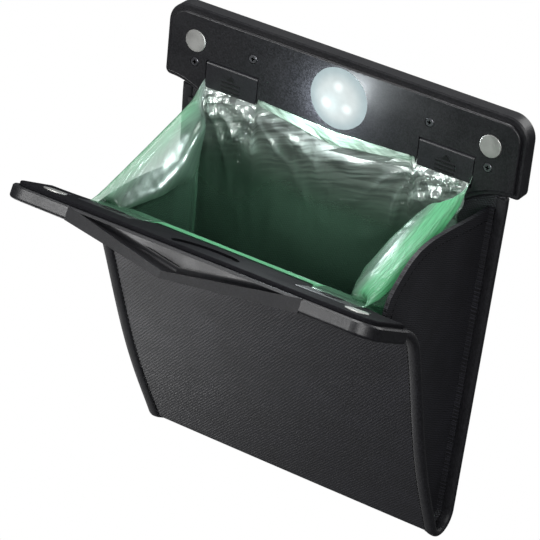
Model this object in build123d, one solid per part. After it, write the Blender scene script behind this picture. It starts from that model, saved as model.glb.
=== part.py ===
# Hanging car trash bin: header with lamp, folded leather pouch, front bar, liner bag.
# Millimetres. Origin on the header's rear face at the lamp's axis, front towards -Y, +Z up.
import os
from math import cos, radians, sin, tan
from build123d import *

# Header and bar plates
plate_half_width = 101.5
plate_top = 18.0
plate_end_bottom = -18.0
plate_bottom = -36.0
plate_arch_radius = 43.0
plate_corner = 9.0
plate_thickness = 2.2
plate_edge_round = 0.8
cover_rim = 3.0
cover_wall = 2.0
cover_ledge = 1.2
cover_edge_round = 1.6
header_depth = 11.0
bar_depth = 9.2
closed_gap = 1.2

# Magnets and screws
magnet_inset = 15.5
magnet_z = 3.7
magnet_diameter = 12.0
magnet_thickness = 3.0
magnet_proud = 0.5
outer_screw_inset = 15.7
outer_screw_z = -8.1
inner_screw_z = 4.6
screw_head_diameter = 4.6
screw_head_height = 1.0
screw_shank_diameter = 2.2
screw_slot = 0.8
boss_diameter = 5.6
fit = 0.2

# Bag clips
clip_inset = 54.0
clip_width = 30.8
clip_height = 15.2
clip_top_z = -5.0
clip_thickness = 2.3
clip_barrel_radius = 1.6
clip_pin_radius = 0.9
clip_pin_length = 1.3
pin_play = 0.08
clip_gap = 0.5
clip_exit = 1.6
film_room = 1.0
tray_wall = 2.2
tray_floor = 1.0
clip_rib_count = 3
clip_rib_width = 11.0
clip_rib_height = 0.8
clip_rib_pitch = 2.2
clip_mark_proud = 0.4
arrow_width = 5.0
arrow_height = 2.6

# Lamp
lens_diameter = 32.6
lens_flange_diameter = 36.5
lens_flange_height = 24.0
lens_flange_thickness = 1.0
lens_dome = 2.0
lens_wall = 1.4
lamp_recess_room = 0.4
board_room = 0.2
board_thickness = 1.2
board_depth = 4.2
emitter_side = 4.0
emitter_height = 1.0
emitter_ring = 7.0
emitter_count = 3
switch_side = 5.0
switch_height = 1.3
post_diameter = 3.0

# Battery
cell_x = -34.0
cell_z = 3.0
cell_diameter = 20.0
cell_thickness = 2.0
cell_count = 2
well_wall = 1.2
contact_width = 6.0
contact_thickness = 0.3
well_room = 0.2
cell_to_screw = 17.5
contact_leg_x = -20.0
door_x = -31.0
door_z = 2.5
door_width = 33.0
door_height = 26.0
door_thickness = 1.2
door_screw_x = -19.5
door_screw_z = -7.0
door_boss_depth = 6.0

# Leather pouch
leather = 1.6
leather_inset = 7.0
leather_top = -13.0
slot_room = 0.3
fold_z = -211.5
panel_angle = 22.8
bar_angle = 40.5
bend_z = -53.0
bend_radius = 34.0
panel_belly = 4.0
taper = 1.8
taper_top = -30.0
binding = 1.0
binding_reach = 4.0
gusset = 1.2
gusset_inset = 7.5
gusset_back_z = -31.0
gusset_middle_y = -58.0
gusset_middle_z = -27.0
gusset_front_z = -27.0
gusset_front_rise = 16.0
seam_gap = 0.35
gusset_tuck = 21.0
tuck_y = -44.0
tuck_z = -45.0
tuck_front_z = -40.0
tuck_rows = 9

# Liner bag
film = 0.6
liner_inset = 8.0
liner_clearance = 2.2
liner_floor_rise = 14.0
liner_rim_z = -13.5
liner_rim_sag = 4.5
liner_levels = (0.0, 0.04, 0.35, 0.68, 1.0)

# Finger prow of the bar
prow_inset = 35.5
prow_rise = 15.0
prow_flare = 7.0
prow_lip = 3.4
prow_ridge_drop = 26.0
pocket_rim = 1.2
pocket_floor_drop = 0.8
pocket_round = 3.0
pocket_dish = 1.6

# Places across the width
magnet_x = plate_half_width - magnet_inset
outer_screw_x = plate_half_width - outer_screw_inset
clip_middle_x = plate_half_width - clip_inset + clip_width / 2
leather_half_width = plate_half_width - leather_inset
gusset_half_width = leather_half_width - gusset_inset
liner_half_width = gusset_half_width - liner_inset
prow_half_width = plate_half_width - prow_inset

# Sizes that follow the lamp and the cells
board_diameter = lens_diameter - board_room
inner_screw_x = cell_to_screw - cell_x

# Depths are measured forward from the header's rear face.
plate_back = header_depth - plate_thickness
bar_face = header_depth + closed_gap
bar_front = bar_face + bar_depth
sheet_slot = leather + slot_room
back_sheet = cover_wall + sheet_slot / 2
front_sheet = bar_front - cover_wall - sheet_slot / 2
fold_radius = (front_sheet - back_sheet) / 2
fold_y = -(front_sheet + back_sheet) / 2
clip_axis_z = clip_top_z - clip_barrel_radius
clip_axis_depth = header_depth - clip_barrel_radius
clip_back = header_depth - clip_thickness
recess_floor = clip_back - film_room
cell_face = cover_wall + fit + cell_count * cell_thickness
well_depth = cell_face - well_room
recess_height = clip_height + clip_gap + clip_exit
recess_z = clip_top_z + clip_gap - recess_height / 2
fold_axis = Axis((0, fold_y, fold_z), (1, 0, 0))
bend_axis = Axis((0, -front_sheet, bend_z), (1, 0, 0))


def slab(outline, start, end):
    """Solid of an x, z outline between two depths."""
    return extrude(Plane.XZ.offset(start) * outline, amount=end - start)


def disc(x, z, diameter, start, end):
    return slab(Pos(x, z) * Circle(diameter / 2), start, end)


def block(x, z, width, height, start, end):
    return slab(Pos(x, z) * Rectangle(width, height), start, end)


def plate_outline(grow=0):
    """Plate seen from the front: low in the middle, arched up to the short ends."""
    arch_z = plate_end_bottom - plate_arch_radius
    drop = plate_bottom - arch_z
    arch_x = plate_half_width - (plate_arch_radius**2 - drop**2) ** 0.5
    top = Line((0, plate_top), (plate_half_width, plate_top))
    side = Line(top @ 1, (plate_half_width, plate_end_bottom))
    arch = RadiusArc(side @ 1, (arch_x, plate_bottom), -plate_arch_radius)
    base = Line(arch @ 1, (0, plate_bottom))
    half = make_face([top, side, arch, base, Line(base @ 1, top @ 0)])
    face = (half + mirror(half, Plane.YZ)).clean()
    corners = face.vertices().filter_by(lambda v: v.Y > plate_top - 1)
    face = fillet(corners, plate_corner)
    return offset(face, grow) if grow else face


def pivot(shape):
    """From the shut place, where the bar lies against the header, to the open one."""
    return shape.rotate(bend_axis, bar_angle).rotate(fold_axis, panel_angle)


def shut_mirror(shape):
    """Header-side piece to its twin on the bar, facing it across the closed gap."""
    return mirror(shape, Plane.XZ.offset(header_depth + closed_gap / 2))


def screw(x, z, seat, length):
    """Cross-head screw driven from the front, head in its counterbore."""
    head = disc(x, z, screw_head_diameter, seat, seat + screw_head_height)
    head = chamfer(head.edges().group_by(Axis.Y)[0], screw_head_height / 4)
    for width, height in ((screw_slot, 3 * screw_slot), (3 * screw_slot, screw_slot)):
        head -= block(x, z, width, height, seat + screw_head_height / 2, seat + screw_head_height)
    return head + disc(x, z, screw_shank_diameter, seat - length, seat)


def screw_hole(x, z, face, length):
    """Counterbore and clearance hole for a screw driven from the front."""
    hole = disc(x, z, screw_head_diameter + 2 * fit, face - screw_head_height, face + 1)
    return hole + disc(x, z, screw_shank_diameter + 2 * fit, face - length, face)


def clip(side):
    """Flip clip: flat tongue under a hinge barrel with a pin at each end, arrow and grip ribs."""
    x = side * clip_middle_x
    tongue_height = clip_axis_z - (clip_top_z - clip_height)
    tongue = block(x, clip_axis_z - tongue_height / 2, clip_width, tongue_height, clip_back, header_depth)
    tip = tongue.edges().filter_by(Axis.X).group_by(Axis.Z)[0].sort_by(Axis.Y)[0]
    tongue = chamfer(tip, clip_thickness / 3)
    at_axis = Plane((x, -clip_axis_depth, clip_axis_z), x_dir=(0, 1, 0), z_dir=(1, 0, 0))
    barrel = extrude(at_axis * Circle(clip_barrel_radius), clip_width / 2, both=True)
    pins = extrude(at_axis * Circle(clip_pin_radius), clip_width / 2 + clip_pin_length, both=True)
    body = tongue + barrel + pins
    mark_top = clip_axis_z - clip_barrel_radius - arrow_height - 2 * clip_gap
    arrow = Pos(x, mark_top) * make_face(
        Polyline((-arrow_width / 2, 0), (arrow_width / 2, 0), (0, arrow_height), close=True)
    )
    body += slab(arrow, clip_back, header_depth + clip_mark_proud)
    for i in range(clip_rib_count):
        z = mark_top - (i + 0.75) * clip_rib_pitch
        body += block(x, z, clip_rib_width, clip_rib_height, clip_back, header_depth + clip_mark_proud)
    return body


def clip_tray(side):
    """Material behind the plate that carries a clip's pocket."""
    x = side * clip_middle_x
    width = clip_width + 2 * (clip_gap + tray_wall)
    tray = block(x, recess_z, width, recess_height + 2 * tray_wall, recess_floor - tray_floor, plate_back)
    return tray & slab(plate_outline(-cover_ledge - fit), 0, plate_back)


def clip_pocket(side):
    """Room for a clip: the pocket, its pin sockets and the way out for the film below."""
    x = side * clip_middle_x
    width = clip_width + 2 * clip_gap
    pocket = block(x, recess_z, width, recess_height, recess_floor, header_depth + 1)
    at_axis = Plane((x, -clip_axis_depth, clip_axis_z), x_dir=(0, 1, 0), z_dir=(1, 0, 0))
    reach = clip_width / 2 + clip_pin_length + fit
    sockets = extrude(at_axis * Circle(clip_pin_radius + pin_play), reach, both=True)
    return pocket + sockets


def plate_blank():
    """Plate with clip pockets and magnet seats, before what only one side has."""
    plate = slab(plate_outline(), plate_back, header_depth)
    plate = fillet(plate.faces().sort_by(Axis.Y)[0].outer_wire().edges(), plate_edge_round)
    magnet_seat = header_depth + magnet_proud - magnet_thickness
    cup_diameter = magnet_diameter + 2 * tray_wall
    for side in (-1, 1):
        plate += clip_tray(side)
        plate += disc(side * magnet_x, magnet_z, cup_diameter, magnet_seat - tray_floor, plate_back)
        plate -= clip_pocket(side)
        plate -= disc(side * magnet_x, magnet_z, magnet_diameter + 2 * fit, magnet_seat, header_depth + 1)
        plate -= screw_hole(side * outer_screw_x, outer_screw_z, header_depth, header_depth)
    return plate


def clamp_rib(inner_face):
    """Rib behind the plate that presses the leather's edge on to the cover."""
    width = 2 * (leather_half_width - 2 * tray_wall)
    z = leather_top - tray_wall
    rib = block(0, z, width, tray_wall, inner_face, plate_back)
    for side in (-1, 1):
        rib -= clip_pocket(side)
    return rib


def magnet(side):
    front = header_depth + magnet_proud
    body = disc(side * magnet_x, magnet_z, magnet_diameter, front - magnet_thickness, front)
    return chamfer(body.faces().sort_by(Axis.Y)[0].edges(), magnet_proud / 2)


def cover(depth):
    """Open tray behind a plate, with screw bosses and the slot that the leather comes out of."""
    tray = slab(plate_outline(cover_rim), 0, depth)
    tray = fillet(tray.faces().sort_by(Axis.Y)[-1].outer_wire().edges(), cover_edge_round)
    tray = chamfer(tray.faces().sort_by(Axis.Y)[0].outer_wire().edges(), cover_edge_round / 2)
    tray -= slab(plate_outline(-cover_ledge), cover_wall, depth)
    slot_width = 2 * (leather_half_width + slot_room)
    slot_top = leather_top + slot_room
    slot_bottom = plate_bottom - 2 * cover_rim
    tray -= block(
        0,
        (slot_top + slot_bottom) / 2,
        slot_width,
        slot_top - slot_bottom,
        cover_wall,
        cover_wall + sheet_slot,
    )
    return tray


def boss(x, z, depth):
    post = disc(x, z, boss_diameter, cover_wall / 2, depth)
    return post - disc(x, z, screw_shank_diameter + fit / 2, cover_wall, depth)


def rear_cover():
    body = cover(plate_back)
    for side in (-1, 1):
        body += boss(side * outer_screw_x, outer_screw_z, plate_back)
        body += boss(side * inner_screw_x, inner_screw_z, plate_back)
    for turn in range(emitter_count):
        stand = Rot(0, 0, 90 + turn * 360 / emitter_count) * Pos(board_diameter / 2 - post_diameter, 0)
        body += slab(stand * Circle(post_diameter / 2), cover_wall / 2, board_depth)
    well = cell_diameter + 2 * fit
    body += disc(cell_x, cell_z, well + 2 * well_wall, cover_wall / 2, well_depth)
    body += disc(door_screw_x, door_screw_z, boss_diameter - 2 * fit, cover_wall / 2, door_boss_depth)
    body -= disc(cell_x, cell_z, well, 0, well_depth)
    body -= disc(door_screw_x, door_screw_z, screw_shank_diameter + fit / 2, 0, door_boss_depth - fit)
    return body - block(door_x, door_z, door_width + 2 * fit, door_height + 2 * fit, 0, door_thickness + fit)


def battery_door():
    door = block(door_x, door_z, door_width, door_height, 0, door_thickness)
    door = fillet(door.edges().filter_by(Axis.Y), 2 * well_wall)
    door += disc(cell_x, cell_z, cell_diameter - 2 * fit, 0, cover_wall)
    door -= disc(door_screw_x, door_screw_z, screw_head_diameter + 2 * fit, 0, screw_head_height / 2 + fit)
    return door - disc(door_screw_x, door_screw_z, screw_shank_diameter + 2 * fit, 0, door_thickness)


def battery_door_screw():
    head = disc(door_screw_x, door_screw_z, screw_head_diameter, 0, screw_head_height / 2 + fit)
    for width, height in ((screw_slot, 3 * screw_slot), (3 * screw_slot, screw_slot)):
        head -= block(door_screw_x, door_screw_z, width, height, 0, screw_head_height / 2)
    return head + disc(
        door_screw_x, door_screw_z, screw_shank_diameter, screw_head_height / 2, door_boss_depth - 2 * fit
    )


def front_plate():
    plate = plate_blank() + clamp_rib(cover_wall + sheet_slot)
    for side in (-1, 1):
        plate -= screw_hole(side * inner_screw_x, inner_screw_z, header_depth, header_depth)
    return plate - disc(0, 0, lens_diameter + 2 * fit, 0, header_depth + 1)


def lens():
    """Domed push lens with a retaining tab on each side and a middle post over the switch."""
    radius = lens_diameter / 2
    flange_back = plate_back - lens_flange_thickness
    top = header_depth + lens_dome
    ball_radius = (radius**2 + lens_dome**2) / (2 * lens_dome)
    at_centre = Pos(0, ball_radius - top, 0)
    body = disc(0, 0, lens_diameter, flange_back, top) & at_centre * Sphere(ball_radius)
    room = disc(0, 0, lens_diameter - 2 * lens_wall, flange_back, top)
    room &= at_centre * Sphere(ball_radius - lens_wall)
    room -= disc(0, 0, post_diameter, flange_back, top)
    tabs = disc(0, 0, lens_flange_diameter, flange_back, plate_back)
    tabs &= block(0, 0, lens_flange_diameter, lens_flange_height, flange_back, plate_back)
    return body + tabs - room


def board():
    return disc(0, 0, board_diameter, board_depth, board_depth + board_thickness)


def emitters():
    top = board_depth + board_thickness
    places = PolarLocations(emitter_ring, emitter_count, start_angle=90)
    square = Rectangle(emitter_side, emitter_side)
    return [slab(place * square, top, top + emitter_height) for place in places]


def push_switch():
    top = board_depth + board_thickness
    body = block(0, 0, switch_side, switch_side, top, top + switch_height / 2)
    return body + disc(0, 0, post_diameter, top, top + switch_height)


def coin_cells():
    first = cover_wall + fit
    edges = [first + i * cell_thickness for i in range(cell_count)]
    cells = [disc(cell_x, cell_z, cell_diameter, edge, edge + cell_thickness) for edge in edges]
    return [chamfer(cell.edges(), contact_thickness) for cell in cells]


def cell_contact():
    """Bent strip from the front cell's face over the well's edge down to the board."""
    foot = board_depth + board_thickness
    foot_x = -(board_diameter / 2 - post_diameter)
    foot_length = foot_x - contact_leg_x
    foot_top = foot + contact_thickness
    bottom = block(foot_x - foot_length / 2, cell_z, foot_length, contact_width, foot, foot_top)
    arm_top = cell_face + contact_thickness
    leg = block(contact_leg_x, cell_z, contact_thickness, contact_width, foot, arm_top)
    arm_length = contact_leg_x - cell_x
    arm = block(cell_x + arm_length / 2, cell_z, arm_length, contact_width, cell_face, arm_top)
    return bottom + leg + arm


def prow():
    """V-shaped pull in front of the bar's top edge, with the cover's outer face at depth 0."""
    top = plate_top + cover_rim
    rim = bar_depth - plate_thickness
    tip = top + prow_rise
    near, far = (-prow_half_width, -rim, top), (prow_half_width, -rim, top)
    low, high = (-prow_half_width, 0, top), (prow_half_width, 0, top)
    inner, outer = (0, prow_flare - prow_lip, tip), (0, prow_flare, tip)
    root = (0, 0, top - prow_ridge_drop)
    outlines = [
        (near, low, outer, inner),
        (far, inner, outer, high),
        (low, root, outer),
        (root, high, outer),
        (near, inner, far),
        (near, far, high, low),
        (low, high, root),
    ]
    body = Solid(Shell([Face(Wire.make_polygon(points)) for points in outlines]))
    return body + block(0, top - cover_wall / 2, 2 * prow_half_width, cover_wall, 0, rim)


def finger_pocket():
    """Scoop behind the prow: straight V walls, rounded floor edge and a dished floor."""
    top = plate_top + cover_rim
    rim = bar_depth - plate_thickness
    floor = top - pocket_floor_drop
    share = pocket_rim / (rim + prow_flare - prow_lip)
    half_width = prow_half_width * (1 - share)
    back, tip = pocket_rim - rim, prow_flare - prow_lip
    plan = make_face(Polyline((-half_width, back), (half_width, back), (0, tip), close=True))
    room = extrude(Plane.XY.offset(floor) * plan, prow_rise + 2 * cover_wall)
    walls = room.faces().sort_by(Axis.Z)[0].edges().sort_by(Axis.Y)[1:]
    room = fillet(walls, pocket_round)
    ball_radius = (half_width**2 + pocket_dish**2) / (2 * pocket_dish)
    ball = Pos(0, (prow_flare - rim) / 2, floor + ball_radius - pocket_dish) * Sphere(ball_radius)
    deep = extrude(Plane.XY.offset(floor - pocket_dish) * offset(plan, -pocket_round), prow_rise)
    return room + (deep & ball)


def bar_cover():
    body = cover(bar_depth - plate_thickness)
    for side in (-1, 1):
        body += boss(side * outer_screw_x, outer_screw_z, bar_depth - plate_thickness)
    body = body + prow() - finger_pocket()
    return pivot(mirror(body, Plane.XZ.offset(bar_front / 2)))


def bar_plate():
    plate = plate_blank() + clamp_rib(header_depth - bar_depth + cover_wall + sheet_slot)
    recess = lens_dome - closed_gap + lamp_recess_room
    plate -= disc(0, 0, lens_diameter + 4 * lamp_recess_room, header_depth - recess, header_depth + 1)
    return pivot(shut_mirror(plate))


def turned(point, axis, degrees):
    """A side-view point turned about an axis across the width."""
    y, z = point[0] - axis.position.Y, point[1] - axis.position.Z
    c, s = cos(radians(degrees)), sin(radians(degrees))
    return (axis.position.Y + y * c - z * s, axis.position.Z + y * s + z * c)


def panel_point(depth, z):
    """Open place in the side view of a point of the front panel, given where it lies shut."""
    return turned((-depth, z), fold_axis, panel_angle)


def bar_point(depth, z):
    """The same for a point of the bar."""
    return turned(turned((-depth, z), bend_axis, bar_angle), fold_axis, panel_angle)


def panel_place(depth, z):
    """Point of the open front panel at a given height."""
    low, high = panel_point(depth, fold_z), panel_point(depth, bend_z)
    return (low[0] + (high[0] - low[0]) * (z - low[1]) / (high[1] - low[1]), z)


def back_line(top):
    """Side view of the back panel and the round bottom fold, from the top down to the front panel."""
    back_y = -back_sheet
    start = panel_point(front_sheet, fold_z)
    low = Line((back_y, top), (back_y, fold_z))
    middle = (fold_y, fold_z - fold_radius)
    return [low, ThreePointArc(low @ 1, middle, start)]


def front_line(top, inset=0, cut=0):
    """Side view of the front panel: swelling outward, then bent forward to the bar."""
    depth = front_sheet - inset
    corners = [panel_point(depth, fold_z), panel_point(depth, bend_z), bar_point(depth, top)]
    panel, bend, flap = FilletPolyline(*corners, radius=bend_radius + inset).edges().sort_by(Axis.Y)
    low, high = [corner.center() for corner in panel.vertices().sort_by(Axis.Y)]
    middle = panel_point(depth + panel_belly, (fold_z + bend_z) / 2)
    swell = Spline(low, middle, high, tangents=(high - low, high - low))
    return [swell.trim(cut / panel.length, 1) if cut else swell, bend, flap]


def across(profile, start, end):
    """Solid of a side-view profile between two places across the width."""
    return extrude(Plane.YZ.offset(start) * profile, amount=end - start)


def sheet(lines, width, thickness):
    return across(trace(Wire(lines), line_width=thickness), -width, width)


def narrowed(panel):
    """Pouch sheet cut to its edges, which run in towards the bottom fold."""
    low_z = fold_z - 2 * fold_radius
    low_x = leather_half_width - (taper_top - low_z) * tan(radians(taper))
    right = [(leather_half_width, 0), (leather_half_width, taper_top), (low_x, low_z)]
    outline = make_face(Polyline(*right, *[(-x, z) for x, z in reversed(right)], close=True))
    return panel & slab(outline, 0, -2 * fold_z)


def leaned(piece, side):
    """Side piece turned in with the pouch's edge."""
    return piece.rotate(Axis((side * leather_half_width, 0, taper_top), (0, 1, 0)), side * taper)


def leather_back():
    return narrowed(sheet(back_line(leather_top), leather_half_width, leather))


def leather_front():
    return narrowed(sheet(front_line(leather_top, cut=slot_room), leather_half_width, leather))


def edge_binding(side):
    """Tape folded round the raw edges of the pouch, from the header round the fold to the bar."""
    top = plate_end_bottom - cover_rim - binding_reach
    path = Wire(back_line(top) + front_line(top))
    tape = trace(path, line_width=leather + 2 * (binding + slot_room))
    core = trace(path, line_width=leather + 2 * slot_room)
    inner, outer = leather_half_width - binding_reach, leather_half_width + binding + slot_room
    solid = across(tape, side * inner, side * outer)
    return leaned(solid - across(core, 0, side * (leather_half_width + slot_room)), side)


def triangles(a, b, c, d):
    return [Face(Wire.make_polygon(points)) for points in ((a, b, c), (a, c, d))]


def between(outer, inner, closed):
    """Solid between two grids of points, closed round the columns or open like a panel."""
    rows, columns = len(outer), len(outer[0])
    spans = [(j, (j + 1) % columns) for j in range(columns if closed else columns - 1)]
    faces = []
    for j, k in spans:
        for i in range(rows - 1):
            for grid in (outer, inner):
                faces += triangles(grid[i][j], grid[i][k], grid[i + 1][k], grid[i + 1][j])
        for i in (0,) if closed else (0, rows - 1):
            faces += triangles(outer[i][j], outer[i][k], inner[i][k], inner[i][j])
    if closed:
        faces += [Face(Wire.make_polygon(grid[-1])) for grid in (outer, inner)]
    else:
        for i in range(rows - 1):
            for j in (0, columns - 1):
                faces += triangles(outer[i][j], outer[i + 1][j], inner[i + 1][j], inner[i][j])
    return Solid(Shell(faces))


def gusset_inset_depth():
    return leather / 2 + slot_room + binding + seam_gap


def gusset_flanges(side, bar_z):
    """Strips of a gusset that lie on the two panels it is sewn to."""
    inset = gusset_inset_depth()
    back_y = -back_sheet - inset
    lines = [Wire(front_line(bar_z, reach)) for reach in (inset, inset + gusset)]
    ends = [Line(lines[0] @ end, lines[1] @ end) for end in (0, 1)]
    front = make_face([*lines[0].edges(), *lines[1].edges(), *ends])
    height = gusset_back_z - fold_z
    back = Pos(back_y - gusset / 2, (gusset_back_z + fold_z) / 2) * Rectangle(gusset, height)
    inner = side * (gusset_half_width - gusset)
    outer = side * (leather_half_width - binding_reach - seam_gap)
    return across(front, inner, outer) + across(back, inner, outer)


def flat_wall(side):
    """Gusset wall drawn flat between the panels, its top edge arched."""
    inset = gusset_inset_depth()
    back_y = -back_sheet - inset
    start, low = (back_y, gusset_back_z), (back_y, fold_z)
    front = Wire(front_line(gusset_front_z, inset))
    tip = bar_point(front_sheet - inset - gusset_front_rise, gusset_front_z)
    top = ThreePointArc(start, (gusset_middle_y, gusset_middle_z), tip)
    bar_end = bar_point(front_sheet - inset, gusset_front_z)
    fold_end = panel_point(front_sheet - inset, fold_z)
    wall = make_face([top, Line(tip, bar_end), *front.edges(), Polyline(fold_end, low, start)])
    return across(wall, side * (gusset_half_width - gusset), side * gusset_half_width)


def crease_point(share):
    """The tucked wall's crease, from its top to the fold: inset from the wall's plane, y and z."""
    return (gusset_tuck * (1 - share), tuck_y + (fold_y - tuck_y) * share, tuck_z + (fold_z - tuck_z) * share)


def tucked_wall(side):
    """Gusset wall folded inward along a crease that runs out at the bottom fold."""
    inset = gusset_inset_depth() + gusset / 2
    front = Wire(front_line(tuck_front_z, inset))
    outer = []
    for row in range(tuck_rows):
        share = row / (tuck_rows - 1)
        depth, y, z = crease_point(share)
        edge = front @ (1 - share)
        back_z = gusset_back_z + (fold_z - gusset_back_z) * share
        x = side * gusset_half_width
        outer.append([(x, -back_sheet - inset, back_z), (x - side * depth, y, z), (x, edge.X, edge.Y)])
    inner = [[(x - side * gusset, y, z) for x, y, z in row] for row in outer]
    return between(outer, inner, False)


def side_gusset(side, wall, bar_z):
    """Side of the pouch: its wall and the flange along each panel."""
    return leaned(wall(side) + gusset_flanges(side, bar_z), side)


def liner_loop(level):
    """Film's outline at a level: along the header, down the right, along the bar and up the left."""
    gap = film / 2 + slot_room
    clip_x = clip_middle_x - clip_width / 2
    low_z = fold_z + liner_floor_rise
    rear_z = plate_bottom - cover_rim + (low_z - plate_bottom + cover_rim) * level
    front_depth = front_sheet - leather / 2 - liner_clearance
    narrow = (taper_top - rear_z) * tan(radians(taper))
    wide = liner_half_width - narrow
    rear_y = -(header_depth + gap) if level == 0 else -back_sheet - gusset_inset_depth() - gusset - gap
    if level == 0:
        front = bar_point(bar_face - gap, plate_bottom - cover_rim)
    else:
        front = panel_place(front_depth, low_z + (panel_point(front_depth, bend_z)[1] - low_z) * (1 - level))
    places = (-1, -clip_x / wide, 0, clip_x / wide, 1)
    rear = [(wide * place, rear_y, rear_z) for place in places]
    ahead = [(-wide * place, *front) for place in places]
    points = side_points((rear_y, rear_z), front)
    tuck = crease_point(crease_share(points[0][1]))[0] + gusset + liner_clearance - liner_inset
    room = (max(tuck, 0), max(2 * tuck / 3, 0))
    right = [(wide, *point) for point in points]
    left = [(depth - wide, *point) for depth, point in zip(room, points)]
    return rear + right + ahead + left[::-1]


def crease_share(z):
    return min(max((tuck_z - z) / (tuck_z - fold_z), 0), 1)


def side_points(rear, front):
    """Film points on a side of the pouch: over the gusset's crease, and half way from there to the front."""
    crease_y = crease_point(crease_share((rear[1] + front[1]) / 2))[1]
    share = (crease_y - rear[0]) / (front[0] - rear[0])
    shares = (share, (1 + share) / 2)
    return [(rear[0] + (front[0] - rear[0]) * s, rear[1] + (front[1] - rear[1]) * s) for s in shares]


def liner_rim():
    """Film's edge: under the clips at the corners, drawn straight along the plates and the sides."""
    gap = film / 2 + slot_room
    held_z = clip_top_z - clip_height - clip_exit / 2
    clip_x = clip_middle_x - clip_width / 2
    wide = liner_half_width
    y = -(header_depth + gap)
    half = [(wide, y, held_z), (clip_x, y, liner_rim_z)]
    rear = [(-x, y, z) for x, y, z in half] + [(0, y, liner_rim_z - liner_rim_sag)] + half[::-1]
    corner = bar_point(bar_face - gap, held_z)
    edge = bar_point(bar_face - gap, plate_bottom)
    front = [(wide, *corner), (clip_x, *edge), (0, *edge), (-clip_x, *edge), (-wide, *corner)]
    right = [(wide, *point) for point in side_points((y, held_z), corner)]
    return rear + right + front + [(-x, y, z) for x, y, z in reversed(right)]


def toward(value):
    """Which side of the middle a place lies on; 0 within the film's own thickness."""
    return (value > film) - (value < -film)


def liner_bag():
    """Open film bag, hung from its rim and narrowing to the floor."""
    outer = [liner_rim()] + [liner_loop(level) for level in liner_levels]
    inner = []
    for row in outer:
        middle_y = (row[0][1] + row[len(row) // 2][1]) / 2
        inner.append([(x - film * toward(x), y - film * toward(y - middle_y), z) for x, y, z in row])
    inner[-1] = [(x, y, z + film) for x, y, z in inner[-1]]
    return between(outer, inner, True)


def add(name, shape):
    pieces = shape if isinstance(shape, list) else [shape]
    solids = [solid for piece in pieces for solid in piece.solids()]
    node = solids[0] if len(solids) == 1 else Compound(solids)
    export_step(node, f"parts/{name}.step")


screw_seat = header_depth - screw_head_height
screw_length = screw_seat - cover_wall - fit
bar_screw_length = screw_seat - (header_depth - bar_depth + cover_wall) - fit
sides = {"left": -1, "right": 1}
os.makedirs("parts", exist_ok=True)

add("header_rear_cover", rear_cover())
add("header_front_plate", front_plate())
add("battery_door", battery_door())
add("battery_door_screw", battery_door_screw())
add("coin_cells", coin_cells())
add("cell_contact", cell_contact())
add("lamp_board", board())
add("lamp_emitters", emitters())
add("lamp_switch", push_switch())
add("lamp_lens", lens())
outer_screws = [screw(side * outer_screw_x, outer_screw_z, screw_seat, screw_length) for side in (-1, 1)]
inner_screws = [screw(side * inner_screw_x, inner_screw_z, screw_seat, screw_length) for side in (-1, 1)]
bar_screws = [screw(side * outer_screw_x, outer_screw_z, screw_seat, bar_screw_length) for side in (-1, 1)]
add("header_screws", outer_screws + inner_screws)
add("bar_screws", [pivot(shut_mirror(one)) for one in bar_screws])
add("bar_cover", bar_cover())
add("bar_plate", bar_plate())
add("leather_back", leather_back())
add("leather_front", leather_front())
add("liner_bag", liner_bag())
add("gusset_left", side_gusset(-1, tucked_wall, tuck_front_z))
add("gusset_right", side_gusset(1, flat_wall, gusset_front_z))
for name, side in sides.items():
    add(f"header_magnet_{name}", magnet(side))
    add(f"header_clip_{name}", clip(side))
    add(f"bar_magnet_{name}", pivot(shut_mirror(magnet(side))))
    add(f"bar_clip_{name}", pivot(shut_mirror(clip(side))))
    add(f"edge_binding_{name}", edge_binding(side))
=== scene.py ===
# Hanging car trash bin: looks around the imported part, in metres
import math

import bpy
import numpy as np
from mathutils import Matrix, Vector, noise


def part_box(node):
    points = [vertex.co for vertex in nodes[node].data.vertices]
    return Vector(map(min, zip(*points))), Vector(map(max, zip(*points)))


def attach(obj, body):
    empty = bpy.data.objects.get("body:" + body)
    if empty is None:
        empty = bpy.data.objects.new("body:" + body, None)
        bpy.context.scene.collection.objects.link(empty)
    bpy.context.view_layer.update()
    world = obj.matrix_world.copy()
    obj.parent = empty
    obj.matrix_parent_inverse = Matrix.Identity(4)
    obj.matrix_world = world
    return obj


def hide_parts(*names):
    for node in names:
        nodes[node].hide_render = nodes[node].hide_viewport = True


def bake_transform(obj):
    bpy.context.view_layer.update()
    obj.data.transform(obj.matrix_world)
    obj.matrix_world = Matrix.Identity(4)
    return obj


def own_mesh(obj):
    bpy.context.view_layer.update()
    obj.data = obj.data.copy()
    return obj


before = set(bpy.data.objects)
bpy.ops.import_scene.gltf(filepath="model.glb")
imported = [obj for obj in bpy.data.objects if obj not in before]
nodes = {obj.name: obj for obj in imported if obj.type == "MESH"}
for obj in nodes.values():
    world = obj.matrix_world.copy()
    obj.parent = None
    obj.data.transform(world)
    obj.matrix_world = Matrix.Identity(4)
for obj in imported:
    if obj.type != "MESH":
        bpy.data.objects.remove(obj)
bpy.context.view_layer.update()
mm = 0.001
sharpAngle = math.radians(50)
print("frame loaded:", len(nodes), "nodes")


def linear(hexColour):
    parts = [int(hexColour[i:i + 2], 16) / 255 for i in (1, 3, 5)]
    return [c / 12.92 if c <= 0.04045 else ((c + 0.055) / 1.055) ** 2.4 for c in parts] + [1]


# a socket given as an input is linked, anything else is set on the socket
def addNode(tree, kind, settings, inputs):
    made = tree.nodes.new(kind)
    for key, value in settings.items():
        setattr(made, key, value)
    for key, value in inputs.items():
        if isinstance(value, bpy.types.NodeSocket):
            tree.links.new(value, made.inputs[key])
        else:
            made.inputs[key].default_value = value
    return made


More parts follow.
